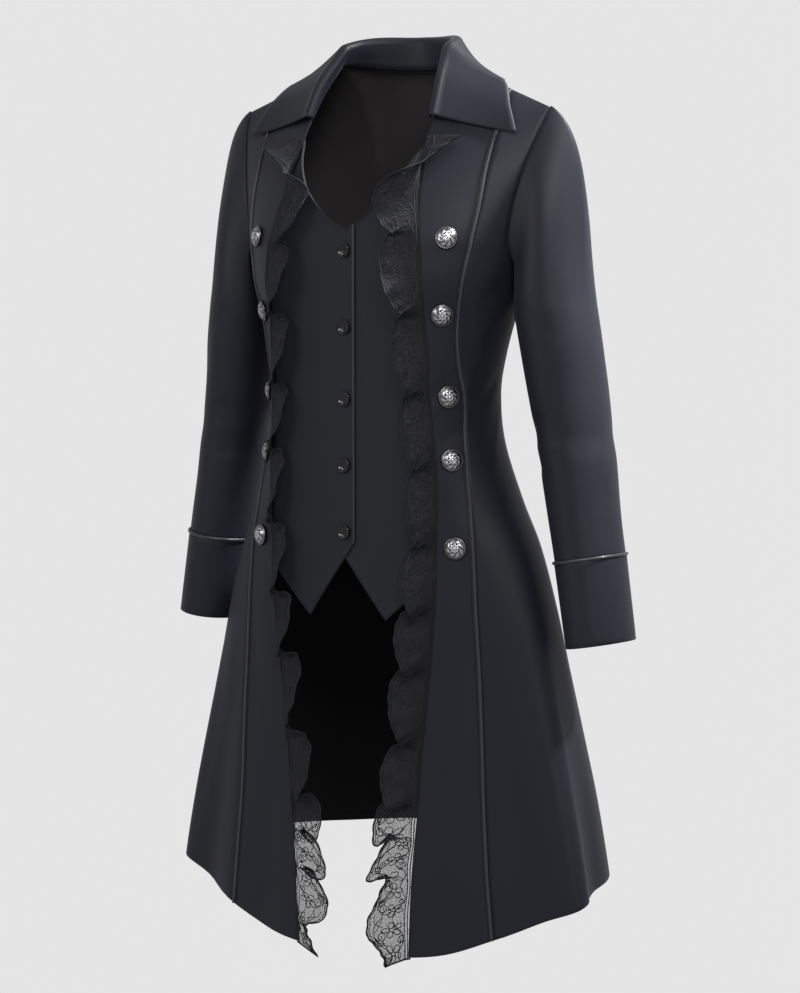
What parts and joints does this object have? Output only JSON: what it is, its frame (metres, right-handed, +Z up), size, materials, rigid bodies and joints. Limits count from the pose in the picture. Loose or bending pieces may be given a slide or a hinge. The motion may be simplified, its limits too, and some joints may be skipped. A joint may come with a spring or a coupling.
{
  "type": "tailcoat",
  "caption": "Long black tailcoat worn open over a mock vest, with lace ruffles down the front edges.",
  "frame": {"origin": "between the shoulders at the height of the neck seam, where the wearer's shoulders carry the coat", "axes": "+Z up, -Y the way the wearer faces, +X towards the wearer's left arm"},
  "size_m": [0.594, 0.2928, 1.0319],
  "materials": {
    "coat_cloth": "matte satin weave",
    "vest_cloth": "matte weave",
    "satin_piping": "satin",
    "lace": "corded lace",
    "silver": "embossed, darkened hollows",
    "black_buttons": "gloss"
  },
  "bodies": {
    "root": {"front_left": "coat_cloth", "side_left": "coat_cloth", "back_left": "coat_cloth", "sleeve_left": "coat_cloth", "cuff_left": "coat_cloth", "piping_front_left": "satin_piping", "piping_cuff_left": "satin_piping", "vest_left": "vest_cloth", "lace_left": "lace", "silver_button_left_1": "silver", "silver_button_left_2": "silver", "silver_button_left_3": "silver", "silver_button_left_4": "silver", "silver_button_left_5": "silver", "front_right": "coat_cloth", "side_right": "coat_cloth", "back_right": "coat_cloth", "sleeve_right": "coat_cloth", "cuff_right": "coat_cloth", "piping_front_right": "satin_piping", "piping_cuff_right": "satin_piping", "vest_right": "vest_cloth", "lace_right": "lace", "silver_button_right_1": "silver", "silver_button_right_2": "silver", "silver_button_right_3": "silver", "silver_button_right_4": "silver", "silver_button_right_5": "silver", "collar": "coat_cloth", "vest_button_1": "black_buttons", "vest_button_2": "black_buttons", "vest_button_3": "black_buttons", "vest_button_4": "black_buttons", "vest_button_5": "black_buttons"}
  },
  "joints": []
}
